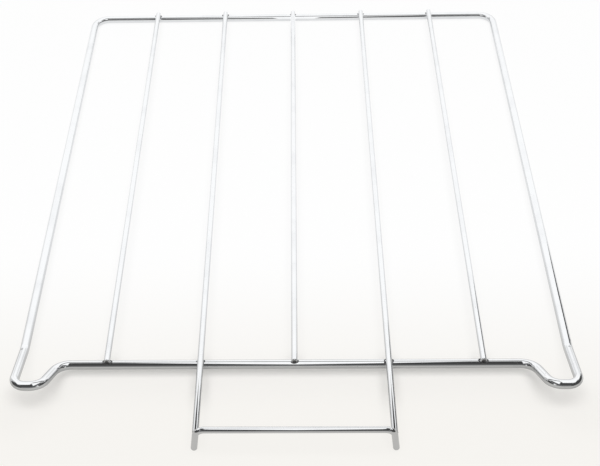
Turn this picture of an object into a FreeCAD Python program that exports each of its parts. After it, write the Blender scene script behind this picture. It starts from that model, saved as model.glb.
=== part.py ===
"""Oven shelf rack: a welded wire shelf, as a parametric FreeCAD document in millimetres.

+X is to the right, +Y to the back and +Z up. The origin is under the middle of the rack, level with
the undersides of its two feet.
"""
import FreeCAD, Part
import math
import os

# Driving sizes, in millimetres and degrees
SIZES = (
    ("bar_pitch", 60, "spacing of the five shelf bars"),
    ("edge_gap", 56, "from a side rail to the nearest shelf bar, between centres"),
    ("frame_depth", 392, "from the front bar to the back bar, between centres"),
    ("frame_wire", 6, "diameter of the frame's wire"),
    ("bar_wire", 4, "diameter of the shelf bars and of the foot bar"),
    ("weld_sink", 0.5, "how far a shelf bar sinks into the frame's wire where it crosses it"),
    ("bar_overhang", 1.5, "how far a shelf bar's end passes the centre of the wire under it"),
    ("back_corner_radius", 12, "bend of the frame's back corners"),
    ("kink_setback", 13, "from the front bar back to where a rail bends up into its ear"),
    ("kink_radius", 20, "bend where a rail turns up into its ear"),
    ("ear_reach", 24, "from the front bar to the ear's front edge"),
    ("ear_rise", 9.5, "height of the ear's front edge over the frame"),
    ("ear_width", 17.5, "from the rail to the ear's inner corner"),
    ("ear_outer_radius", 8, "bend of the ear's outer corner"),
    ("ear_inner_radius", 9, "bend of the ear's inner corner"),
    ("ear_return", 24.5, "from the rail to where the ear comes back to the front bar"),
    ("return_radius", 11, "bend between the ear and the front bar"),
    ("foot_reach", 58, "from the front bar to the foot bar"),
    ("foot_drop", 5.5, "how far the feet reach below the frame"),
    ("foot_bar_lift", 6, "height of the foot bar's cross bar over the shelf bars, between centres"),
    ("foot_corner_radius", 6, "bend between the cross bar and a foot"),
    ("foot_splay", 7, "how far a foot leans outwards, in degrees"),
)

# Places that follow from the driving sizes, as expressions
RAIL_X = "(2 * Sizes.bar_pitch + Sizes.edge_gap)"
HALF_DEPTH = "((Sizes.frame_depth + Sizes.foot_reach + Sizes.frame_wire / 2 + Sizes.bar_wire / 2) / 2)"
BACK_Y = f"({HALF_DEPTH} - Sizes.frame_wire / 2)"
FRONT_Y = f"({BACK_Y} - Sizes.frame_depth)"
FOOT_Y = f"({FRONT_Y} - Sizes.foot_reach)"
FRAME_Z = "(Sizes.foot_drop + Sizes.frame_wire / 2)"
BAR_Z = f"({FRAME_Z} + Sizes.frame_wire / 2 + Sizes.bar_wire / 2 - Sizes.weld_sink)"
FOOT_BAR_Z = f"({BAR_Z} + Sizes.foot_bar_lift)"
EAR_Y = f"({FRONT_Y} - Sizes.ear_reach)"
EAR_Z = f"({FRAME_Z} + Sizes.ear_rise)"

# The short bars stop on the front bar, and the long ones butt against the foot bar's legs from behind
SHORT_END_Y = f"({FRONT_Y} - Sizes.bar_overhang)"
LONG_END_Y = f"({FOOT_Y} + Sizes.bar_wire / 2)"

# Shelf bars from left to right, one pitch apart, each with the place of its front end
SHELF_BARS = (
    ("short_bar_left", SHORT_END_Y),
    ("long_bar_left", LONG_END_Y),
    ("short_bar_centre", SHORT_END_Y),
    ("long_bar_right", LONG_END_Y),
    ("short_bar_right", SHORT_END_Y),
)

doc = FreeCAD.newDocument("OvenShelfRack")


def make_sheet():
    """Put the driving sizes into a spreadsheet, one row each: its name, its value and its meaning."""
    sheet = doc.addObject("Spreadsheet::Sheet", "Sizes")
    for row, (alias, value, meaning) in enumerate(SIZES, start=1):
        sheet.set(f"A{row}", alias)
        sheet.set(f"B{row}", str(value))
        sheet.set(f"C{row}", meaning)
        sheet.setAlias(f"B{row}", alias)
    doc.recompute()
    return sheet


def size(alias):
    """The value of one driving size."""
    return float(sizes.get(alias))


def place(obj, x, y, z):
    """Bind an object's position to three expressions."""
    for axis, expression in zip("xyz", (x, y, z)):
        obj.setExpression(f"Placement.Base.{axis}", expression)


def bend_points(name, places):
    """One vertex for each corner of a bent wire's centre line, bound to its place."""
    vertices = []
    for number, corner in enumerate(places):
        vertex = doc.addObject("Part::Vertex", f"{name}_bend_{number}")
        for prop, expression in zip("XYZ", corner):
            vertex.setExpression(prop, expression)
        vertices.append(vertex)
    doc.recompute()
    return [FreeCAD.Vector(v.X.Value, v.Y.Value, v.Z.Value) for v in vertices]


def bent_line(points, radii):
    """A centre line of straight runs, with a tangent arc of the given radius at each inner point."""
    edges = []
    start = points[0]
    for before, corner, after, radius in zip(points, points[1:], points[2:], radii):
        inward = (before - corner).normalize()
        outward = (after - corner).normalize()
        half_angle = inward.getAngle(outward) / 2
        tangent = radius / math.tan(half_angle)
        arc_start = corner + inward * tangent
        arc_end = corner + outward * tangent
        to_centre = (inward + outward).normalize()
        arc_middle = corner + to_centre * (radius / math.sin(half_angle) - radius)
        edges.append(Part.LineSegment(start, arc_start).toShape())
        edges.append(Part.Arc(arc_start, arc_middle, arc_end).toShape())
        start = arc_end
    edges.append(Part.LineSegment(start, points[-1]).toShape())
    return Part.Wire(edges)


def symmetric_wire(name, diameter, places, radii):
    """A round wire bent the same way on both sides: its right half swept from the middle, and its mirror."""
    points = bend_points(name, places)
    path = doc.addObject("Part::Feature", f"{name}_path")
    path.Shape = bent_line(points, [size(radius) for radius in radii])

    section = doc.addObject("Part::Circle", f"{name}_section")
    section.setExpression("Radius", f"Sizes.{diameter} / 2")
    section.Placement.Rotation = FreeCAD.Rotation(FreeCAD.Vector(0, 1, 0), 90)
    place(section, *places[0])

    half = doc.addObject("Part::Sweep", f"{name}_right")
    half.Sections = [section]
    half.Spine = (path, [f"Edge{number}" for number in range(1, len(path.Shape.Edges) + 1)])
    half.Solid = True
    half.Frenet = False

    mirror = doc.addObject("Part::Mirroring", f"{name}_left")
    mirror.Source = half
    mirror.Normal = FreeCAD.Vector(1, 0, 0)

    whole = doc.addObject("Part::Fuse", f"{name}_whole")
    whole.Base = half
    whole.Tool = mirror
    whole.Refine = True
    return whole


def cut(name, base, tool):
    """What another shape leaves of a shape that it cuts into."""
    seated = doc.addObject("Part::Cut", name)
    seated.Base = base
    seated.Tool = tool
    return seated


def make_frame():
    """The closed loop of thick wire, with an up-turned ear at each front corner."""
    ear_inner_x = f"({RAIL_X} - Sizes.ear_width)"
    return_x = f"({RAIL_X} - Sizes.ear_return)"
    kink_y = f"({FRONT_Y} + Sizes.kink_setback)"
    places = (
        ("0", BACK_Y, FRAME_Z),
        (RAIL_X, BACK_Y, FRAME_Z),
        (RAIL_X, kink_y, FRAME_Z),
        (RAIL_X, EAR_Y, EAR_Z),
        (ear_inner_x, EAR_Y, EAR_Z),
        (return_x, FRONT_Y, FRAME_Z),
        ("0", FRONT_Y, FRAME_Z),
    )
    radii = ("back_corner_radius", "kink_radius", "ear_outer_radius", "ear_inner_radius", "return_radius")
    frame = symmetric_wire("frame", "frame_wire", places, radii)
    frame.Label = "perimeter_frame"
    return frame


def make_foot_bar():
    """The staple at the front: a cross bar and two feet, cut level with the floor."""
    lean = "tan(Sizes.foot_splay)"
    corner_x = f"(Sizes.bar_pitch - Sizes.foot_bar_lift * {lean})"
    below_floor = "Sizes.bar_wire"
    foot_x = f"(Sizes.bar_pitch + ({BAR_Z} + {below_floor}) * {lean})"
    places = (
        ("0", FOOT_Y, FOOT_BAR_Z),
        (corner_x, FOOT_Y, FOOT_BAR_Z),
        (foot_x, FOOT_Y, f"-{below_floor}"),
    )
    staple = symmetric_wire("foot", "bar_wire", places, ("foot_corner_radius",))

    floor_x = f"({foot_x} + Sizes.bar_wire)"
    floor = doc.addObject("Part::Box", "foot_trim")
    floor.setExpression("Length", f"2 * {floor_x}")
    floor.setExpression("Width", "2 * Sizes.bar_wire")
    floor.setExpression("Height", f"2 * {below_floor}")
    place(floor, f"-{floor_x}", f"{FOOT_Y} - Sizes.bar_wire", f"-2 * {below_floor}")

    foot_bar = cut("foot_level", staple, floor)
    foot_bar.Label = "foot_bar"
    return foot_bar


def make_bar(name, pitches, front_end, frame):
    """One straight shelf bar along Y, from its front end to just past the back bar.

    A saddle is cut into it wherever it sinks into the frame's wire.
    """
    back_end = f"({BACK_Y} + Sizes.bar_overhang)"
    rod = doc.addObject("Part::Cylinder", f"{name}_rod")
    rod.setExpression("Radius", "Sizes.bar_wire / 2")
    rod.setExpression("Height", f"{back_end} - {front_end}")
    rod.Placement.Rotation = FreeCAD.Rotation(FreeCAD.Vector(1, 0, 0), -90)
    place(rod, f"{pitches} * Sizes.bar_pitch", front_end, BAR_Z)

    bar = cut(f"{name}_on_frame", rod, frame)
    bar.Label = name
    return bar


def write_pieces(pieces):
    """Check the whole document, then write each piece to its own file."""
    for obj in doc.Objects:
        if "Invalid" in obj.State or "Error" in obj.State:
            raise RuntimeError(f"{obj.Label} failed: {obj.State}")
    for piece in pieces:
        if piece.Shape.isNull() or not piece.Shape.isValid():
            raise RuntimeError(f"{piece.Label} has no valid shape")
        if len(piece.Shape.Solids) != 1:
            raise RuntimeError(f"{piece.Label} has {len(piece.Shape.Solids)} solids")
    os.makedirs("parts", exist_ok=True)
    for piece in pieces:
        piece.Shape.exportStep(f"parts/{piece.Label}.step")
        print(f"{piece.Label}: {piece.Shape.Volume:.1f} mm3, {len(piece.Shape.Faces)} faces")


sizes = make_sheet()
frame = make_frame()
pieces = [frame, make_foot_bar()]
for number, (name, front_end) in enumerate(SHELF_BARS):
    pitches = number - len(SHELF_BARS) // 2
    pieces.append(make_bar(name, pitches, front_end, frame))
doc.recompute()
write_pieces(pieces)
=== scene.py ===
"""Oven shelf rack: bright chrome wire, welds and a pale studio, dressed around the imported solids.

Everything is in metres, in the frame of the solids: +X to the right, +Y to the back, +Z up.
"""
import math

import bpy
from bpy.props import FloatProperty, FloatVectorProperty, IntProperty, PointerProperty
from mathutils import Matrix, Vector


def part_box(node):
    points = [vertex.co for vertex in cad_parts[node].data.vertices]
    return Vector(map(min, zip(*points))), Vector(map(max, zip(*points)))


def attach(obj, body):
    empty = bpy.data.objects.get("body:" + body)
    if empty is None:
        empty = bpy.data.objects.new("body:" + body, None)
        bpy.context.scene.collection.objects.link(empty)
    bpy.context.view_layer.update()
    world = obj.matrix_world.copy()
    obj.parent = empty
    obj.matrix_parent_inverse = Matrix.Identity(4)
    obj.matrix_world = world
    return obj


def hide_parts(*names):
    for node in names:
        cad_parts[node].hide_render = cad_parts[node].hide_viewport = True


bl_info = {
    "name": "Oven Shelf Rack",
    "version": (1, 0, 0),
    "blender": (4, 5, 0),
    "location": "3D View > Sidebar > Rack",
    "description": "Builds a chrome-plated welded wire shelf and a plain studio around it",
    "category": "Object",
}

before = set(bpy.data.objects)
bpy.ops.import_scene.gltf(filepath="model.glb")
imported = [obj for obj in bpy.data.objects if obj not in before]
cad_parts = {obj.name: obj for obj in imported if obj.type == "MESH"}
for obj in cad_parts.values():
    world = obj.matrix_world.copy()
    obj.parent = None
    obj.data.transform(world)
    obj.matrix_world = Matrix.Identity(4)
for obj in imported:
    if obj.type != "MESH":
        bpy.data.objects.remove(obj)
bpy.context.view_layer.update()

BODY = "root"
FRAME_SLOT = "frame_wire"
BAR_SLOT = "bar_wire"
SHORT_BARS = ("short_bar_left", "short_bar_centre", "short_bar_right")
LONG_BARS = ("long_bar_left", "long_bar_right")

# Wires: half the step that closes the frame's loop at the back, the change of direction around a point
# that counts as a full bend, and how many roundings in from its tip the plain wire begins
BACK_SEAM = 0.0001
FULL_BEND = 0.05
END_SHOULDER = 1.3

# Bruises from the bending tool: the rail's side, metres behind its kink, degrees outwards from its top,
# and how far the bruise is as dull as a sheared end
TOOL_MARKS = ((-1, -0.0028, 12, 0.9), (1, 0.0043, 58, 0.5), (1, -0.0025, 3, 0.5))

# Rings of weld flash: their steps, the range of sizes that they are drawn from, their shape at a crossing
# and at a butt joint, and how deep they sit, in parts of the ring and of its bead
RING_STEPS = 28
BEAD_STEPS = 12
WELD_SEED = 7
WELD_SIZES = (0.9, 1.12)
CROSSING_SHAPE = (1.0, 0.6, 0.8)
COLLAR_REACH = 0.8
COLLAR_HEIGHT = 0.7
WELD_SINK = 0.6

# Lumps in the flash: the noise that leaves the bead as it is, and how many beads high the lumps are
LUMP_MIDDLE = 0.45
LUMP_HEIGHT = 1.6

# Patterns in the plating and the welds, in lumps to the metre
DRAW_LINES = 3800.0
DRAW_WAVES = 22.0
SMUDGES = 55.0
RIPPLES = 520.0
PORES = 1500.0
WELD_LUMPS = 620.0
WELD_GRAIN = 1400.0

# The noise at which a pattern begins, and the noise at which it is full
HAZE_RANGE = (0.42, 0.72)
PORE_RANGE = (0.70, 0.78)
BURN_RANGE = (0.40, 0.70)

# How much of its colour a pattern brings, and how much roughness it adds
HAZE_TINT = 0.6
PORE_TINT = 0.35
LINE_ROUGH = 0.02
HAZE_ROUGH = 0.03
RIPPLE_ROUGH = 0.05
PORE_ROUGH = 0.15
BURN_ROUGH = 0.2

# Where the room in the chrome starts and stops changing: sideways for each step to the back,
# and the least step to the back that is counted
PAPER_SIDES = (0.85, 1.6)
LOW_PAPER_FROM = (0.1, 0.3)
LOW_PAPER_TO = (0.5, 0.8)
LEAST_BACK = 0.05

# The same along one direction alone: upwards, sideways or to the back
LOW_PAPER_UP = (0.25, 0.45)
DUSK_UP = (0.0, 0.7)
ROOM_SIDES = (0.45, 0.7)
PAPER_BACK = (-0.05, 0.05)

# The photograph's width in pixels, and the nearest that the camera sees in metres
PHOTO_WIDTH = 600
NEAREST = 0.01

BLACK = (0.0, 0.0, 0.0, 1.0)
WHITE = (1.0, 1.0, 1.0, 1.0)

# Socket types of the geometry trees' inputs
FLOAT = "NodeSocketFloat"
INTEGER = "NodeSocketInt"
MATERIAL = "NodeSocketMaterial"


def length(name, default, description):
    """A size in metres."""
    return FloatProperty(
        name=name, description=description, default=default, unit="LENGTH", subtype="DISTANCE", precision=4
    )


def angle(name, degrees, description):
    """An angle, given in degrees."""
    return FloatProperty(
        name=name, description=description, default=math.radians(degrees), unit="ROTATION", subtype="ANGLE"
    )


def share(name, default, description):
    """A number from 0 to 1."""
    return FloatProperty(
        name=name, description=description, default=default, min=0.0, max=1.0, subtype="FACTOR"
    )


def number(name, default, description, unit="NONE", **limits):
    """A plain number."""
    return FloatProperty(name=name, description=description, default=default, unit=unit, **limits)


def colour(name, default, description):
    """A linear colour."""
    return FloatVectorProperty(
        name=name, description=description, default=default, size=3, min=0.0, max=1.0, subtype="COLOR"
    )


def count(name, default, description):
    """A whole number of steps."""
    return IntProperty(name=name, description=description, default=default, min=1)


class RackSizes(bpy.types.PropertyGroup):
    """Bends, ends and welds of the rack's wires. Their places come from the solids."""

    frame_wire: length("Frame wire", 0.006, "Diameter of the frame's wire")
    back_corner: length("Back corner", 0.012, "Bend radius of the frame's back corners")
    kink_setback: length("Kink setback", 0.013, "From the front bar back to where a rail turns up")
    kink: length("Kink", 0.020, "Bend radius where a rail turns up into its ear")
    ear_width: length("Ear width", 0.0175, "From a rail to its ear's inner corner")
    ear_outer: length("Ear outer corner", 0.008, "Bend radius of an ear's outer corner")
    ear_inner: length("Ear inner corner", 0.009, "Bend radius of an ear's inner corner")
    ear_return: length("Ear return", 0.0245, "From a rail to where its ear comes back to the front bar")
    return_bend: length("Return bend", 0.011, "Bend radius between an ear and the front bar")
    bar_overhang: length("Bar overhang", 0.0015, "How far a bar's end passes the middle of the front bar")
    foot_corner: length("Foot corner", 0.006, "Bend radius between the cross bar and a foot")
    foot_splay: angle("Foot splay", 7, "How far a foot leans outwards")
    end_round: length("End rounding", 0.0006, "Rounding of a sheared wire end's edge")
    weld_reach: length("Weld reach", 0.0025, "From the middle of a crossing to the middle of its weld flash")
    weld_bead: length("Weld bead", 0.0006, "Thickness of the weld flash, from its middle to its surface")
    bend_steps: count("Bend steps", 20, "Steps in each bend")
    round_steps: count("Round steps", 48, "Steps around a wire")
    run_step: length("Run step", 0.003, "Longest step along a straight run")


class RackFinish(bpy.types.PropertyGroup):
    """Colours and gloss of the plating."""

    chrome: colour("Chrome", (0.75, 0.76, 0.77), "Clean plating")
    haze: colour("Haze", (0.68, 0.69, 0.705), "Plating where it is thinner or smudged")
    cut_end: colour("Cut end", (0.13, 0.13, 0.135), "Sheared wire ends")
    weld: colour("Weld", (0.20, 0.20, 0.205), "Weld flash under thin plating")
    gloss: share("Roughness", 0.045, "Roughness of clean plating")
    cut_rough: share("Cut roughness", 0.42, "Roughness of sheared wire ends")
    weld_rough: share("Weld roughness", 0.30, "Roughness of weld flash")
    draw_depth: length("Draw lines", 0.0000012, "Depth of the fine lines that drawing leaves along a wire")
    bend_depth: length("Bend marks", 0.000022, "Depth of the ripples that bending leaves in the plating")
    mark_size: length("Tool marks", 0.0013, "Reach of a bruise that the bending tool leaves")


class RackStage(bpy.types.PropertyGroup):
    """Floor, light and camera."""

    # Painted shade: the floor is greyer before the rack and white under, behind and far around it, for how
    # the light falls
    floor_front: colour("Floor front", (0.93, 0.913, 0.88), "Floor before the rack")
    floor_back: colour("Floor back", (1.0, 1.0, 1.0), "Floor under and behind the rack, and far around it")
    floor_rough: share("Floor roughness", 0.75, "Roughness of the floor")
    floor_gloss: share("Floor gloss", 0.15, "Specular level of the floor")
    floor_reach: length("Floor reach", 6.0, "From the middle of the floor to its edge")
    floor_turn: length("Floor turn", -0.13, "Where the floor's front and back colours meet")
    floor_turn_width: length("Floor turn width", 0.16, "How wide they run into each other")
    floor_near: length("Floor near", 0.5, "From the middle of the floor to where it begins to fade to white")
    floor_far: length("Floor far", 1.6, "From the middle of the floor to where it has faded")
    floor_glow: share("Floor glow", 0.28, "How far the floor's own white lifts its shadows by the front bar")
    floor_glow_back: share("Floor glow back", 0.85, "How far it lifts them before and behind")
    shade_front: length("Shade front", 0.036, "How far before the front bar the floor's shadows have faded")
    shade_full: length("Shade full", 0.012, "How far before the front bar they begin to fade")
    shade_back: length("Shade back", 0.02, "How far behind the front bar the floor's shadows have faded")
    shade_side: length("Shade side", 0.138, "From the middle to where the floor's shadows turn to the ears")
    # Painted shade: the chrome mirrors the floor darker than it is seen, at the front and more in the front
    # bar's shadow
    floor_dim: share("Floor dim", 0.33, "How much darker the chrome mirrors the floor at the front")
    shade_dim: share("Shade dim", 0.13, "How much darker still it mirrors the floor by the front bar")
    lamp_distance: length("Lamp distance", 3.0, "From the front bar to the soft lamp")
    lamp_tilt: angle("Lamp tilt", 14, "How far the lamp leans from overhead to the front")
    lamp_size: length("Lamp size", 3.0, "Side of the soft lamp")
    lamp_power: number("Lamp power", 72.0, "Power of the soft lamp", "POWER")
    fill: number("Fill", 0.38, "Light from all around", min=0.0)
    white: number("White", 1.28, "Brightness of the paper that the chrome mirrors")
    white_low: share("White low", 0.25, "How much darker that paper is near the floor, off the middle")
    white_side: share("White side", 0.5, "How much darker that paper is to the sides")
    dark: share("Dark", 0.07, "Brightness of the dark room that the chrome mirrors")
    dusk: share("Dusk", 0.25, "Brightness of that room close to the floor")
    ceiling_height: length("Ceiling height", 0.45, "From the origin up to the white ceiling")
    ceiling_side: length("Ceiling side", 0.45, "From the middle of the ceiling to its sides and its back")
    ceiling_front: length("Ceiling front", -0.0825, "Where the ceiling's front edge runs, at the sides")
    ceiling_tip: length("Ceiling tip", -0.613, "Where that edge comes to a point, in the middle")
    ceiling_spread: length("Ceiling spread", 0.18, "Half the width of that point where it leaves the edge")
    ceiling_blur: length("Ceiling blur", 0.045, "Softness of the ceiling's front edge")
    ceiling_gap: length("Ceiling gap", 0.0695, "Where a dark gap runs across the ceiling")
    ceiling_gap_width: length("Ceiling gap width", 0.140, "Width of that gap")
    ceiling_gap_blur: length("Ceiling gap blur", 0.03, "Softness of that gap's edges")
    card_inner: length("Card inner edge", 0.172, "From the middle to the near edge of a card over each ear")
    card_outer: length("Card outer edge", 0.27, "From the middle to the far edge of that card")
    card_front: length("Card front", -0.205, "Where that card begins")
    card_back: length("Card back", -0.08, "Where that card ends")
    card_height: length("Card height", 0.12, "How high that card hangs")
    strip_gap: length("Strip gap", 0.006, "How far before the back bar a small white strip stands")
    strip_x: length("Strip middle", 0.003, "Where the middle of that strip is")
    strip_foot: length("Strip foot", 0.0155, "Half the width of that strip at its foot")
    strip_top: length("Strip top", 0.026, "Half the width of that strip at its top")
    strip_height: length("Strip height", 0.0065, "How high that strip is")
    wall_x: length("Wall place", 0.5, "How far to each side a dark wall stands")
    wall_front: length("Wall front", -0.8, "Where those walls begin")
    wall_back: length("Wall back", -0.06, "Where those walls end")
    board_back: length("Board back", 0.24, "Where a low dark board ends that goes on from the right wall")
    board_height: length("Board height", 0.25, "How high that board is")
    camera_place: FloatVectorProperty(
        name="Camera",
        description="Where the camera stands",
        default=(0.0020, -0.6100, 0.5664),
        size=3,
        subtype="XYZ",
    )
    camera_pitch: angle("Camera pitch", 44.78, "How far the camera looks down")
    camera_yaw: angle("Camera yaw", -2.10, "How far the camera looks to the right of straight ahead")
    camera_roll: angle("Camera roll", -1.88, "How far the camera leans")
    focal_pixels: number("Focal length", 1104.0, "In pixels of the photograph")
    shift_pixels: number("Shift", 32.0, "Sideways shift in pixels of the photograph")


class Link:
    """One output socket in a node tree. Arithmetic on it adds Math nodes."""

    def __init__(self, graph, socket):
        self.graph = graph
        self.socket = socket

    def out(self, name):
        """Another output of the same node."""
        return Link(self.graph, self.graph.pick(self.socket.node.outputs, name))

    def math(self, operation, *others):
        """A Math node that begins with this value."""
        return self.graph.math(operation, self, *others)

    def __add__(self, other):
        return self.math("ADD", other)

    __radd__ = __add__

    def __sub__(self, other):
        return self.math("SUBTRACT", other)

    def __rsub__(self, other):
        return self.graph.math("SUBTRACT", other, self)

    def __mul__(self, other):
        return self.math("MULTIPLY", other)

    __rmul__ = __mul__

    def __truediv__(self, other):
        return self.math("DIVIDE", other)

    def __gt__(self, other):
        return self.math("GREATER_THAN", other)


class Graph:
    """A node tree that is filled from Python."""

    def __init__(self, tree):
        self.tree = tree
        tree.nodes.clear()

    @staticmethod
    def pick(sockets, key):
        """A socket in use, by its name or by its number."""
        used = [socket for socket in sockets if socket.enabled]
        if isinstance(key, int):
            return used[key]
        return next(socket for socket in used if socket.name == key)

    def node(self, kind, settings=None, inputs=None, output=0):
        """Add a node, set it up, then set or link its inputs. Gives one of its outputs."""
        made = self.tree.nodes.new(kind)
        for name, value in (settings or {}).items():
            setattr(made, name, value)
        for key, value in (inputs or {}).items():
            socket = self.pick(made.inputs, key)
            if isinstance(value, Link):
                self.tree.links.new(value.socket, socket)
            else:
                socket.default_value = value
        if not made.outputs:
            return None
        return Link(self, self.pick(made.outputs, output))

    def math(self, operation, *values):
        """A Math node."""
        return self.node("ShaderNodeMath", {"operation": operation}, dict(enumerate(values)))

    def distance(self, first, second):
        """From one place to another."""
        ends = {0: first, 1: second}
        return self.node("ShaderNodeVectorMath", {"operation": "DISTANCE"}, ends, "Value")

    def scaled(self, vector, factor):
        """A vector, made longer or shorter."""
        parts = {"Vector": vector, "Scale": factor}
        return self.node("ShaderNodeVectorMath", {"operation": "SCALE"}, parts)

    def split(self, vector, axis):
        """One part of a vector. Its other parts are outputs of the same node."""
        return self.node("ShaderNodeSeparateXYZ", {}, {"Vector": vector}, axis)

    def joined(self, x, y, z):
        """A vector of three numbers."""
        return self.node("ShaderNodeCombineXYZ", {}, {"X": x, "Y": y, "Z": z})

    def noise(self, place, scale, detail):
        """Cloudy noise around one half."""
        inputs = {"Vector": place, "Scale": scale, "Detail": detail}
        return self.node("ShaderNodeTexNoise", {}, inputs, "Fac")

    def smooth(self, value, low, high):
        """0 below low, 1 above high and smooth between them."""
        return self.node(
            "ShaderNodeMapRange",
            {"interpolation_type": "SMOOTHSTEP"},
            {"Value": value, "From Min": low, "From Max": high},
        )

    def blend(self, factor, first, second):
        """A colour between two colours."""
        return self.node(
            "ShaderNodeMix", {"data_type": "RGBA"}, {"Factor": factor, "A": first, "B": second}, "Result"
        )


def geometry_graph(name, inputs):
    """A new geometry tree that a geometry and the named inputs go into. Gives its graph and those inputs."""
    tree = bpy.data.node_groups.new(name, "GeometryNodeTree")
    graph = Graph(tree)
    kinds = {"Geometry": "NodeSocketGeometry", **inputs}
    for label, kind in kinds.items():
        tree.interface.new_socket(label, in_out="INPUT", socket_type=kind)
    tree.interface.new_socket("Geometry", in_out="OUTPUT", socket_type="NodeSocketGeometry")
    first = graph.node("NodeGroupInput")
    return graph, {label: first.out(label) for label in kinds}


def close_graph(graph, geometry, finish):
    """End a geometry tree: real meshes only, in one finish."""
    whole = graph.node("GeometryNodeRealizeInstances", {}, {"Geometry": geometry})
    coated = graph.node("GeometryNodeSetMaterial", {}, {"Geometry": whole, "Material": finish})
    graph.node("NodeGroupOutput", {}, {"Geometry": coated})
    return graph.tree


def attribute(graph, name, kind="FLOAT"):
    """A value that was stored on the points of a path."""
    return graph.node("GeometryNodeInputNamedAttribute", {"data_type": kind}, {"Name": name})


def store(graph, geometry, name, value, kind="FLOAT", domain="POINT"):
    """Keep a value on a geometry, for the finish to read."""
    return graph.node(
        "GeometryNodeStoreNamedAttribute",
        {"data_type": kind, "domain": domain},
        {"Geometry": geometry, "Name": name, "Value": value},
    )


def neighbour(graph, field, offset):
    """A vector field's value at the point a few steps further along the same path."""
    index = graph.node("GeometryNodeOffsetPointInCurve", {}, {"Offset": offset}, "Point Index")
    return graph.node(
        "GeometryNodeFieldAtIndex",
        {"data_type": "FLOAT_VECTOR", "domain": "POINT"},
        {"Value": field, "Index": index},
    )


def circle_curve(graph, steps, radius):
    """A circle around the origin."""
    return graph.node(
        "GeometryNodeCurvePrimitiveCircle", {"mode": "RADIUS"}, {"Resolution": steps, "Radius": radius}
    )


def shaded(graph, mesh, smooth, faces=True):
    """Shade the chosen faces of a mesh smooth or flat."""
    return graph.node(
        "GeometryNodeSetShadeSmooth", {}, {"Geometry": mesh, "Selection": faces, "Shade Smooth": smooth}
    )


def wire_tree():
    """Round wire along a path of straight runs, with a bend of its own radius at each point.

    The mesh keeps where it is along and around the wire, how much the wire bends there,
    and which faces are sheared ends.
    """
    graph, given = geometry_graph(
        "round_wire",
        {
            "Diameter": FLOAT,
            "Bend Steps": INTEGER,
            "Round Steps": INTEGER,
            "Run Step": FLOAT,
            "Lowest": FLOAT,
            "Finish": MATERIAL,
        },
    )
    line = graph.node("GeometryNodeMeshToCurve", {}, {"Mesh": given["Geometry"]})
    bent = graph.node(
        "GeometryNodeFilletCurve",
        {"mode": "POLY"},
        {"Curve": line, "Count": given["Bend Steps"], "Radius": attribute(graph, "bend_radius")},
    )
    place = graph.node("GeometryNodeInputPosition")
    gap = graph.distance(place, neighbour(graph, place, 1))
    runs = graph.node("GeometryNodeSubdivideCurve", {}, {"Curve": bent, "Cuts": gap / given["Run Step"]})

    tangent = graph.node("GeometryNodeInputTangent")
    turn = graph.distance(neighbour(graph, tangent, -1), neighbour(graph, tangent, 1))
    along = graph.node("GeometryNodeSplineParameter", {}, {}, "Length")
    runs = store(graph, runs, "along", along)
    runs = store(graph, runs, "bend", graph.smooth(turn, 0.0, FULL_BEND))

    circle = circle_curve(graph, given["Round Steps"], given["Diameter"] / 2)
    outwards = graph.node("ShaderNodeVectorMath", {"operation": "NORMALIZE"}, {0: place})
    circle = store(graph, circle, "around", outwards, "FLOAT_VECTOR")
    wire = graph.node(
        "GeometryNodeCurveToMesh",
        {},
        {"Curve": runs, "Profile Curve": circle, "Scale": attribute(graph, "end_scale"), "Fill Caps": True},
    )

    # A wire's sides are quads, so only the caps on its sheared ends have more corners
    sheared = graph.node("GeometryNodeInputMeshFaceNeighbors", {}, {}, "Vertex Count") > 4
    wire = store(graph, wire, "cut_end", sheared, domain="FACE")
    wire = shaded(graph, wire, True, 1 - sheared)
    wire = shaded(graph, wire, False, sheared)
    x = graph.split(place, "X")
    level = graph.joined(x, x.out("Y"), graph.math("MAXIMUM", x.out("Z"), given["Lowest"]))
    wire = graph.node("GeometryNodeSetPosition", {}, {"Geometry": wire, "Position": level})
    return close_graph(graph, wire, given["Finish"])


def weld_tree():
    """An uneven ring of weld flash at each point, turned and sized by the point."""
    graph, given = geometry_graph(
        "weld_flash", {"Reach": FLOAT, "Bead": FLOAT, "Seed": INTEGER, "Finish": MATERIAL}
    )
    ring = circle_curve(graph, RING_STEPS, given["Reach"])
    section = circle_curve(graph, BEAD_STEPS, given["Bead"])
    bead = graph.node("GeometryNodeCurveToMesh", {}, {"Curve": ring, "Profile Curve": section})
    smallest, largest = WELD_SIZES
    swing = graph.node(
        "FunctionNodeRandomValue",
        {"data_type": "FLOAT"},
        {"Min": smallest, "Max": largest, "Seed": given["Seed"]},
    )
    size = graph.scaled(attribute(graph, "weld_size", "FLOAT_VECTOR"), swing)
    turn = graph.node(
        "FunctionNodeEulerToRotation", {}, {"Euler": attribute(graph, "weld_turn", "FLOAT_VECTOR")}
    )
    rings = graph.node(
        "GeometryNodeInstanceOnPoints",
        {},
        {"Points": given["Geometry"], "Instance": bead, "Rotation": turn, "Scale": size},
    )
    flash = graph.node("GeometryNodeRealizeInstances", {}, {"Geometry": rings})

    lumps = graph.noise(graph.node("GeometryNodeInputPosition"), WELD_LUMPS, detail=1.0)
    height = (lumps - LUMP_MIDDLE) * given["Bead"] * LUMP_HEIGHT
    swell = graph.scaled(graph.node("GeometryNodeInputNormal"), height)
    flash = graph.node("GeometryNodeSetPosition", {}, {"Geometry": flash, "Offset": swell})
    return close_graph(graph, shaded(graph, flash, True), given["Finish"])


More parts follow.
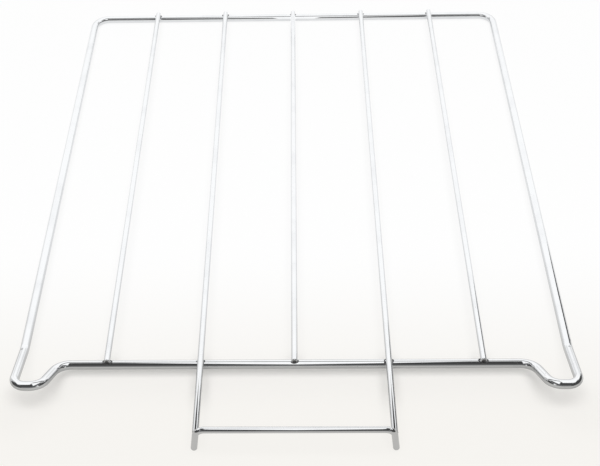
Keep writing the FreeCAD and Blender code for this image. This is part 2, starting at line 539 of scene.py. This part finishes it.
def grow(name, path, tree, values):
    """Run a geometry tree on a path mesh and keep the result as a plain mesh object at the origin."""
    piece = bpy.data.objects.new(name, path)
    bpy.context.scene.collection.objects.link(piece)
    modifier = piece.modifiers.new(tree.name, "NODES")
    modifier.node_group = tree
    sockets = {item.name: item.identifier for item in tree.interface.items_tree if item.in_out == "INPUT"}
    for label, value in values.items():
        modifier[sockets[label]] = value
    bpy.context.view_layer.update()
    depsgraph = bpy.context.evaluated_depsgraph_get()
    mesh = bpy.data.meshes.new_from_object(
        piece.evaluated_get(depsgraph), preserve_all_data_layers=True, depsgraph=depsgraph
    )
    if not mesh.polygons:
        raise RuntimeError(f"{name} came out empty")
    piece.modifiers.clear()
    piece.data = mesh
    mesh.name = name
    bpy.data.meshes.remove(path)
    return piece


def path_mesh(name, points, closed, values):
    """A chain of points, with named values on each point."""
    edges = [(start, start + 1) for start in range(len(points) - 1)]
    if closed:
        edges.append((len(points) - 1, 0))
    mesh = bpy.data.meshes.new(name)
    mesh.from_pydata(points, edges, [])
    for key, column in values.items():
        kind = "FLOAT" if isinstance(column[0], float) else "FLOAT_VECTOR"
        made = mesh.attributes.new(key, kind, "POINT")
        for item, value in zip(made.data, column):
            if kind == "FLOAT":
                item.value = value
            else:
                item.vector = value
    return mesh


def rounded_end(tip, inner, radius, rounding, steps=4):
    """Points from a sheared tip inwards, with the share of the wire's radius that is left at each."""
    inward = (inner - tip).normalized()
    points, scales = [], []
    for step in range(steps + 1):
        turn = step / steps * math.pi / 2
        points.append(tip + inward * rounding * (1 - math.cos(turn)))
        scales.append(1 - rounding / radius * (1 - math.sin(turn)))
    points.append(tip + inward * rounding * END_SHOULDER)
    scales.append(1.0)
    return points, scales


def open_wire_path(name, corners, radii, radius, rounding):
    """A wire with two sheared ends: its corners, with a bend radius for each inner one."""
    first, first_scales = rounded_end(corners[0], corners[1], radius, rounding)
    last, last_scales = rounded_end(corners[-1], corners[-2], radius, rounding)
    inner = list(corners[1:-1])
    points = first + inner + last[::-1]
    bends = [0.0] * len(first) + [float(bend) for bend in radii] + [0.0] * len(last)
    scales = first_scales + [1.0] * len(inner) + last_scales[::-1]
    return path_mesh(name, points, False, {"bend_radius": bends, "end_scale": scales})


def rack_places(sizes):
    """Where the wires' centre lines run, from the boxes of the solids."""
    frame_low, frame_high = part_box("perimeter_frame")
    short_low, short_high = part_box("short_bar_centre")
    foot_low, foot_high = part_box("foot_bar")
    half_wire = sizes.frame_wire / 2
    half_bar = (short_high.x - short_low.x) / 2
    return {
        "half_wire": half_wire,
        "half_bar": half_bar,
        "rail_x": frame_high.x - half_wire,
        "back_y": frame_high.y - half_wire,
        "front_y": short_low.y + sizes.bar_overhang,
        "kink_y": short_low.y + sizes.bar_overhang + sizes.kink_setback,
        "ear_y": frame_low.y + half_wire,
        "ear_z": frame_high.z - half_wire,
        "frame_z": frame_low.z + half_wire,
        "bar_z": short_high.z - half_bar,
        "foot_y": (foot_low.y + foot_high.y) / 2,
        "foot_bar_z": foot_high.z - half_bar,
        "floor_z": foot_low.z,
    }


def bar_line(node, at):
    """A shelf bar's two ends on its centre line."""
    low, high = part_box(node)
    x = (low.x + high.x) / 2
    return Vector((x, low.y, at["bar_z"])), Vector((x, high.y, at["bar_z"]))


def dress(piece, slot, *nodes):
    """Let a finished piece ride on the rack and stand for its solids."""
    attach(piece, BODY)
    if nodes:
        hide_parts(*nodes)


def wire_values(sizes, at, radius, finish):
    """The inputs of the wire tree."""
    return {
        "Diameter": 2 * radius,
        "Bend Steps": sizes.bend_steps,
        "Round Steps": sizes.round_steps,
        "Run Step": sizes.run_step,
        "Lowest": at["floor_z"],
        "Finish": finish,
    }


def new_finish(name):
    """An empty material and the graph to fill it."""
    material = bpy.data.materials.new(name)
    material.use_nodes = True
    return material, Graph(material.node_tree)


def metal(graph, tone, rough, height):
    """End a material in one metal surface."""
    normal = graph.node("ShaderNodeBump", {}, {"Strength": 1.0, "Distance": 1.0, "Height": height})
    shader = graph.node(
        "ShaderNodeBsdfPrincipled",
        {},
        {"Base Color": tone, "Metallic": 1.0, "Roughness": rough, "Normal": normal},
    )
    graph.node("ShaderNodeOutputMaterial", {}, {"Surface": shader})


def read(graph, name, output):
    """A value that the wire tree kept on the mesh."""
    return graph.node("ShaderNodeAttribute", {"attribute_name": name}, {}, output)


def object_place(graph):
    """A point's place on its piece."""
    return graph.node("ShaderNodeTexCoord", {}, {}, "Object")


def rgba(value):
    """A colour with nothing see-through."""
    return (*value, 1.0)


def tool_marks(at):
    """Where the bending tool bruised the rails, on the wire's surface, and how dull each bruise is."""
    marks = []
    for side, behind, degrees, dull in TOOL_MARKS:
        turn = math.radians(degrees)
        x = side * (at["rail_x"] + at["half_wire"] * math.sin(turn))
        z = at["frame_z"] + at["half_wire"] * math.cos(turn)
        marks.append(((x, at["kink_y"] + behind, z), dull))
    return marks


def chrome_finish(name, finish, radius, marks=()):
    """Bright chrome over drawn wire: fine lines, haze and pores, rippled bends, dull ends and bruises."""
    material, graph = new_finish(name)
    around = graph.split(read(graph, "around", "Vector"), "X")
    along = read(graph, "along", "Fac")
    bend = read(graph, "bend", "Fac")
    cut = read(graph, "cut_end", "Fac")
    place = object_place(graph)
    for mark, dull in marks:
        bruise = 1 - graph.smooth(graph.distance(place, mark), finish.mark_size / 2, finish.mark_size)
        cut = graph.math("MAXIMUM", cut, bruise * dull)

    fine = radius * DRAW_LINES
    drawn = graph.joined(along * DRAW_WAVES, around * fine, around.out("Y") * fine)
    lines = graph.noise(drawn, scale=1.0, detail=2.0)
    haze = graph.smooth(graph.noise(place, SMUDGES, detail=3.0), *HAZE_RANGE)
    ripples = graph.noise(place, RIPPLES, detail=1.5)
    pores = graph.smooth(graph.noise(place, PORES, detail=1.0), *PORE_RANGE)

    plated = graph.blend(haze * HAZE_TINT, rgba(finish.chrome), rgba(finish.haze))
    plated = graph.blend(pores * PORE_TINT, plated, rgba(finish.weld))
    tone = graph.blend(cut, plated, rgba(finish.cut_end))
    worn = lines * LINE_ROUGH + haze * HAZE_ROUGH + bend * ripples * RIPPLE_ROUGH + pores * PORE_ROUGH
    shine = finish.gloss + worn
    rough = shine + cut * (finish.cut_rough - shine)
    height = lines * finish.draw_depth + (bend + cut) * ripples * finish.bend_depth
    metal(graph, tone, rough, height)
    return material


def bar_finish(finish, at):
    """The finish of the thin wires, which share one material."""
    made = bpy.data.materials.get("bar_chrome")
    return made or chrome_finish("bar_chrome", finish, at["half_bar"])


def weld_finish(finish):
    """Weld flash: thin, dull plating with small lumps and a heat-dark hollow here and there."""
    material, graph = new_finish("plated_weld")
    lumps = graph.noise(object_place(graph), WELD_GRAIN, detail=2.0)
    plating = graph.smooth(lumps, *BURN_RANGE)
    tone = graph.blend(plating, rgba(finish.cut_end), rgba(finish.weld))
    rough = finish.weld_rough + (1 - plating) * BURN_ROUGH
    metal(graph, tone, rough, lumps * finish.bend_depth)
    return material


class RACK_OT_perimeter_frame(bpy.types.Operator):
    """Bend the thick wire of the frame, with its two up-turned ears"""

    bl_idname = "rack.perimeter_frame"
    bl_label = "Perimeter frame"

    def execute(self, context):
        sizes = context.scene.rack_sizes
        at = rack_places(sizes)
        rail_x, frame_z = at["rail_x"], at["frame_z"]
        half = (
            (BACK_SEAM, at["back_y"], frame_z, 0.0),
            (rail_x, at["back_y"], frame_z, sizes.back_corner),
            (rail_x, at["kink_y"], frame_z, sizes.kink),
            (rail_x, at["ear_y"], at["ear_z"], sizes.ear_outer),
            (rail_x - sizes.ear_width, at["ear_y"], at["ear_z"], sizes.ear_inner),
            (rail_x - sizes.ear_return, at["front_y"], frame_z, sizes.return_bend),
        )
        loop = half + tuple((-x, y, z, bend) for x, y, z, bend in reversed(half))
        path = path_mesh(
            "frame_path",
            [corner[:3] for corner in loop],
            True,
            {"bend_radius": [corner[3] for corner in loop], "end_scale": [1.0] * len(loop)},
        )
        radius = at["half_wire"]
        finish = chrome_finish("frame_chrome", context.scene.rack_finish, radius, tool_marks(at))
        piece = grow("frame_loop", path, wire_tree(), wire_values(sizes, at, radius, finish))
        dress(piece, FRAME_SLOT, "perimeter_frame")
        return {"FINISHED"}


class RACK_OT_shelf_bars(bpy.types.Operator):
    """Lay the five straight shelf bars over the frame"""

    bl_idname = "rack.shelf_bars"
    bl_label = "Shelf bars"

    def execute(self, context):
        sizes = context.scene.rack_sizes
        at = rack_places(sizes)
        tree = wire_tree()
        radius = at["half_bar"]
        values = wire_values(sizes, at, radius, bar_finish(context.scene.rack_finish, at))
        for node in SHORT_BARS + LONG_BARS:
            path = open_wire_path(node + "_path", bar_line(node, at), (), radius, sizes.end_round)
            piece = grow(node + "_wire", path, tree, values)
            dress(piece, BAR_SLOT, node)
        return {"FINISHED"}


class RACK_OT_foot_bar(bpy.types.Operator):
    """Bend the front staple: a cross bar with two feet that stand on the floor"""

    bl_idname = "rack.foot_bar"
    bl_label = "Foot bar"

    def execute(self, context):
        sizes = context.scene.rack_sizes
        at = rack_places(sizes)
        radius = at["half_bar"]
        lean = math.tan(sizes.foot_splay)
        bar_x = bar_line("long_bar_right", at)[0].x
        corner_x = bar_x - (at["foot_bar_z"] - at["bar_z"]) * lean
        foot_x = bar_x + (at["bar_z"] - at["floor_z"]) * lean
        right = (
            Vector((corner_x, at["foot_y"], at["foot_bar_z"])),
            Vector((foot_x, at["foot_y"], at["floor_z"])),
        )
        left = tuple(Vector((-corner.x, corner.y, corner.z)) for corner in reversed(right))
        bends = (sizes.foot_corner, sizes.foot_corner)
        path = open_wire_path("foot_path", left + right, bends, radius, sizes.end_round)
        values = wire_values(sizes, at, radius, bar_finish(context.scene.rack_finish, at))
        piece = grow("foot_staple", path, wire_tree(), values)
        dress(piece, BAR_SLOT, "foot_bar")
        return {"FINISHED"}


class RACK_OT_weld_flash(bpy.types.Operator):
    """Squeeze a ring of weld flash out of every crossing, and out of both butt joints at the foot bar"""

    bl_idname = "rack.weld_flash"
    bl_label = "Weld flash"

    def execute(self, context):
        sizes = context.scene.rack_sizes
        at = rack_places(sizes)
        contact_z = at["frame_z"] + at["half_wire"] - sizes.weld_bead * WELD_SINK
        collar = COLLAR_REACH * at["half_bar"] / sizes.weld_reach
        places, turns, scales = [], [], []
        for node in SHORT_BARS + LONG_BARS:
            front = bar_line(node, at)[0]
            for y in (at["front_y"], at["back_y"]):
                places.append((front.x, y, contact_z))
                turns.append((0.0, 0.0, 0.0))
                scales.append(CROSSING_SHAPE)
            if node in LONG_BARS:
                places.append(tuple(front))
                turns.append((math.pi / 2, 0.0, 0.0))
                scales.append((collar, collar, COLLAR_HEIGHT))
        path = path_mesh("weld_points", places, False, {"weld_turn": turns, "weld_size": scales})
        values = {
            "Reach": sizes.weld_reach,
            "Bead": sizes.weld_bead,
            "Seed": WELD_SEED,
            "Finish": weld_finish(context.scene.rack_finish),
        }
        piece = grow("weld_flash", path, weld_tree(), values)
        dress(piece, BAR_SLOT)
        return {"FINISHED"}


def seen_ray(graph):
    """1 for rays that show the stage as a background, to the eye or through glass."""
    ray = graph.node("ShaderNodeLightPath", {}, {}, "Is Camera Ray")
    return graph.math("MAXIMUM", ray, ray.out("Is Transmission Ray"))


def glossy_ray(graph):
    """1 for rays by which the chrome mirrors the stage."""
    return graph.node("ShaderNodeLightPath", {}, {}, "Is Glossy Ray")


def flat_board(name, corners):
    """A flat piece with four corners, for the stage."""
    mesh = bpy.data.meshes.new(name)
    mesh.from_pydata(corners, [], [(0, 1, 2, 3)])
    board = bpy.data.objects.new(name, mesh)
    bpy.context.scene.collection.objects.link(board)
    return board


def floor_shade(graph, stage, at, across):
    """1 on the floor where the shadows of the front bar and the ears lie, fading to 0 around them."""
    ears = graph.smooth(across.math("ABSOLUTE"), stage.shade_side, at["rail_x"])
    past = across.out("Y") - (at["front_y"] + ears * (at["ear_y"] - at["front_y"]))
    before = graph.smooth(past, -stage.shade_front, -stage.shade_full)
    return before * (1 - graph.smooth(past, 0.0, stage.shade_back))


def floor_plane(stage, at):
    """A wide floor that touches both feet and the underside of the back bar."""
    underside = at["frame_z"] - at["half_wire"]
    slope = (underside - at["floor_z"]) / (at["back_y"] - at["foot_y"])
    reach = stage.floor_reach
    outline = ((-reach, -reach), (reach, -reach), (reach, reach), (-reach, reach))
    floor = flat_board("floor", [(x, y, at["floor_z"] + (y - at["foot_y"]) * slope) for x, y in outline])

    material, graph = new_finish("pale_floor")
    place = object_place(graph)
    across = graph.split(place, "X")
    depth = across.out("Y")
    half_turn = stage.floor_turn_width / 2
    behind = graph.smooth(depth, stage.floor_turn - half_turn, stage.floor_turn + half_turn)
    away = graph.smooth(graph.distance(place, (0.0, 0.0, 0.0)), stage.floor_near, stage.floor_far)
    far = graph.math("MAXIMUM", behind, away)
    # Painted shade: greyer floor before the rack, white under, behind and far around it
    tone = graph.blend(far, rgba(stage.floor_front), rgba(stage.floor_back))

    shade = floor_shade(graph, stage, at, across)
    near = 1 - graph.smooth(depth, at["foot_y"], (at["front_y"] + at["back_y"]) / 2)
    glossy = glossy_ray(graph)
    # Painted shade in the reflection: for glossy rays the floor is darkened at the front and in the front
    # bar's shadow
    tone = graph.blend(glossy * (near * stage.floor_dim + shade * stage.shade_dim), tone, BLACK)
    matt = graph.node(
        "ShaderNodeBsdfPrincipled",
        {},
        {"Base Color": tone, "Roughness": stage.floor_rough, "Specular IOR Level": stage.floor_gloss},
    )
    glow = graph.node("ShaderNodeEmission", {}, {"Color": tone, "Strength": 1.0})
    lift = stage.floor_glow_back - shade * (stage.floor_glow_back - stage.floor_glow)
    lift = lift + away * (1 - lift)
    seen = graph.math("MAXIMUM", seen_ray(graph), glossy)
    lifted = graph.node("ShaderNodeMixShader", {}, {0: seen * lift, 1: matt, 2: glow})
    graph.node("ShaderNodeOutputMaterial", {}, {"Surface": lifted})
    floor.data.materials.append(material)


def studio_world(stage):
    """White paper behind the rack and a dark room before it, as the chrome mirrors them."""
    world = bpy.data.worlds.new("studio")
    world.use_nodes = True
    bpy.context.scene.world = world
    graph = Graph(world.node_tree)
    right = graph.split(graph.node("ShaderNodeTexCoord", {}, {}, "Generated"), "X")
    back, up = right.out("Y"), right.out("Z")
    aside = right.math("ABSOLUTE")
    turn = aside / graph.math("MAXIMUM", back, LEAST_BACK)
    beside = graph.smooth(turn, *PAPER_SIDES)
    off_middle = graph.smooth(turn, *LOW_PAPER_FROM) * (1 - graph.smooth(turn, *LOW_PAPER_TO))
    low = (1 - graph.smooth(up, *LOW_PAPER_UP)) * off_middle
    paper = stage.white * (1 - beside * stage.white_side) * (1 - low * stage.white_low)
    room = stage.dusk + graph.smooth(up, *DUSK_UP) * (stage.dark - stage.dusk)
    room = room + graph.smooth(aside, *ROOM_SIDES) * (1 - room)
    mirrored = room + graph.smooth(back, *PAPER_BACK) * (paper - room)

    # Painted reflection: glossy rays alone see the bright paper and the dark room, while diffuse light is the
    # even fill
    strength = stage.fill + glossy_ray(graph) * (mirrored - stage.fill)
    strength = strength + seen_ray(graph) * (1 - strength)
    background = graph.node("ShaderNodeBackground", {}, {"Color": WHITE, "Strength": strength})
    graph.node("ShaderNodeOutputWorld", {}, {"Surface": background})


def mirrored_board(name, corners):
    """A flat board that only the chrome shows: its glow is a painted reflection, which lights nothing and
    casts no shadow. Gives the graph of its material, which is still empty.
    """
    board = flat_board(name, corners)
    board.visible_camera = False
    board.visible_diffuse = False
    board.visible_transmission = False
    board.visible_shadow = False
    material, graph = new_finish(name)
    material.cycles.emission_sampling = "NONE"
    board.data.materials.append(material)
    return graph


def glowing(graph, strength, tone=WHITE):
    """End a board's material in a plain glow."""
    glow = graph.node("ShaderNodeEmission", {}, {"Color": tone, "Strength": strength})
    graph.node("ShaderNodeOutputMaterial", {}, {"Surface": glow})


def mirrored_ceiling(stage):
    """The white ceiling in the chrome: it ends over the rack in a point to the front, and has a gap."""
    side, height = stage.ceiling_side, stage.ceiling_height
    front = stage.ceiling_tip - stage.ceiling_blur
    outline = ((-side, side), (side, side), (side, front), (-side, front))
    graph = mirrored_board("ceiling", [(x, y, height) for x, y in outline])
    across = graph.split(object_place(graph), "X")
    depth, aside = across.out("Y"), across.math("ABSOLUTE")
    slope = (stage.ceiling_front - stage.ceiling_tip) / stage.ceiling_spread
    edge = graph.math("MINIMUM", aside * slope + stage.ceiling_tip, stage.ceiling_front)
    behind = graph.smooth(depth - edge, -stage.ceiling_blur, stage.ceiling_blur)
    half_gap, blur = stage.ceiling_gap_width / 2, stage.ceiling_gap_blur
    off_gap = graph.smooth((depth - stage.ceiling_gap).math("ABSOLUTE"), half_gap - blur, half_gap + blur)
    shadow = stage.dark / stage.white
    glowing(graph, stage.white, graph.blend(behind * off_gap, (shadow, shadow, shadow, 1.0), WHITE))


def mirrored_sides(stage):
    """The dark walls in the chrome, to both sides of the front, and a low dark board behind the right one."""
    boards = (
        ("left_wall", -stage.wall_x, stage.wall_front, stage.wall_back, stage.ceiling_height),
        ("right_wall", stage.wall_x, stage.wall_front, stage.wall_back, stage.ceiling_height),
        ("right_board", stage.wall_x, stage.wall_back, stage.board_back, stage.board_height),
    )
    for name, x, front, back, top in boards:
        outline = ((front, 0.0), (front, top), (back, top), (back, 0.0))
        glowing(mirrored_board(name, [(x, y, z) for y, z in outline]), stage.dark)


def mirrored_cards(stage):
    """A painted reflection: a small glowing white card over each ear, seen only in the chrome, which keeps
    the dark line along the ear's front edge thin.
    """
    front, back = stage.card_front, stage.card_back
    for name, side in (("left_card", -1), ("right_card", 1)):
        inner, outer = side * stage.card_inner, side * stage.card_outer
        outline = ((inner, front), (outer, front), (outer, back), (inner, back))
        glowing(mirrored_board(name, [(x, y, stage.card_height) for x, y in outline]), stage.white)


def mirrored_strip(stage, at):
    """A painted reflection: a small glowing white strip, seen only in the chrome, that the middle of the back
    bar mirrors where its dark line breaks off.
    """
    y, foot, top = at["back_y"] - stage.strip_gap, stage.strip_foot, stage.strip_top
    low, high = at["frame_z"], at["frame_z"] + stage.strip_height
    outline = ((-foot, low), (foot, low), (top, high), (-top, high))
    glowing(mirrored_board("white_strip", [(stage.strip_x + x, y, z) for x, z in outline]), stage.white)


def soft_lamp(stage, at):
    """A soft lamp high before the front bar, which only shapes the shadows."""
    lamp = bpy.data.lights.new("soft_lamp", "AREA")
    lamp.shape = "SQUARE"
    lamp.size = stage.lamp_size
    lamp.energy = stage.lamp_power
    placed = bpy.data.objects.new("soft_lamp", lamp)
    bpy.context.scene.collection.objects.link(placed)
    tilt, distance = stage.lamp_tilt, stage.lamp_distance
    placed.location = (0.0, at["front_y"] - distance * math.sin(tilt), distance * math.cos(tilt))
    placed.rotation_euler = (tilt, 0.0, 0.0)
    placed.visible_glossy = False


def photo_camera(stage):
    """The camera at the photograph's viewing angle."""
    camera = bpy.data.cameras.new("camera")
    camera.sensor_fit = "HORIZONTAL"
    camera.lens = stage.focal_pixels * camera.sensor_width / PHOTO_WIDTH
    camera.shift_x = stage.shift_pixels / PHOTO_WIDTH
    camera.clip_start = NEAREST
    placed = bpy.data.objects.new("camera", camera)
    bpy.context.scene.collection.objects.link(placed)
    pitch, yaw, roll = stage.camera_pitch, stage.camera_yaw, stage.camera_roll
    ahead = Vector((math.sin(yaw) * math.cos(pitch), math.cos(yaw) * math.cos(pitch), -math.sin(pitch)))
    level_right = Vector((math.cos(yaw), -math.sin(yaw), 0.0))
    level_up = level_right.cross(ahead)
    right = level_right * math.cos(roll) + level_up * math.sin(roll)
    up = level_up * math.cos(roll) - level_right * math.sin(roll)
    turn = Matrix((right, up, -ahead)).transposed().to_4x4()
    placed.matrix_world = Matrix.Translation(stage.camera_place) @ turn
    bpy.context.scene.camera = placed


class RACK_OT_stage(bpy.types.Operator):
    """Set up the pale floor, the soft light and the camera"""

    bl_idname = "rack.stage"
    bl_label = "Stage"

    def execute(self, context):
        stage = context.scene.rack_stage
        at = rack_places(context.scene.rack_sizes)
        context.scene.view_settings.view_transform = "Standard"
        floor_plane(stage, at)
        studio_world(stage)
        mirrored_ceiling(stage)
        mirrored_sides(stage)
        mirrored_cards(stage)
        mirrored_strip(stage, at)
        soft_lamp(stage, at)
        photo_camera(stage)
        return {"FINISHED"}


OPERATORS = (
    RACK_OT_perimeter_frame,
    RACK_OT_shelf_bars,
    RACK_OT_foot_bar,
    RACK_OT_weld_flash,
    RACK_OT_stage,
)


class RACK_PT_sidebar(bpy.types.Panel):
    """Sizes, finish and stage of the rack"""

    bl_label = "Oven Shelf Rack"
    bl_idname = "RACK_PT_sidebar"
    bl_space_type = "VIEW_3D"
    bl_region_type = "UI"
    bl_category = "Rack"

    def draw(self, context):
        for operator in OPERATORS:
            self.layout.operator(operator.bl_idname)
        for group in (context.scene.rack_sizes, context.scene.rack_finish, context.scene.rack_stage):
            box = self.layout.box()
            for name in group.__annotations__:
                box.prop(group, name)


CLASSES = (RackSizes, RackFinish, RackStage, *OPERATORS, RACK_PT_sidebar)


def register():
    for cls in CLASSES:
        bpy.utils.register_class(cls)
    bpy.types.Scene.rack_sizes = PointerProperty(type=RackSizes)
    bpy.types.Scene.rack_finish = PointerProperty(type=RackFinish)
    bpy.types.Scene.rack_stage = PointerProperty(type=RackStage)


def unregister():
    del bpy.types.Scene.rack_stage
    del bpy.types.Scene.rack_finish
    del bpy.types.Scene.rack_sizes
    for cls in reversed(CLASSES):
        bpy.utils.unregister_class(cls)


def main():
    """Build the rack and its stage."""
    register()
    bpy.ops.rack.perimeter_frame()
    bpy.ops.rack.shelf_bars()
    bpy.ops.rack.foot_bar()
    bpy.ops.rack.weld_flash()
    bpy.ops.rack.stage()


if __name__ == "__main__":
    main()
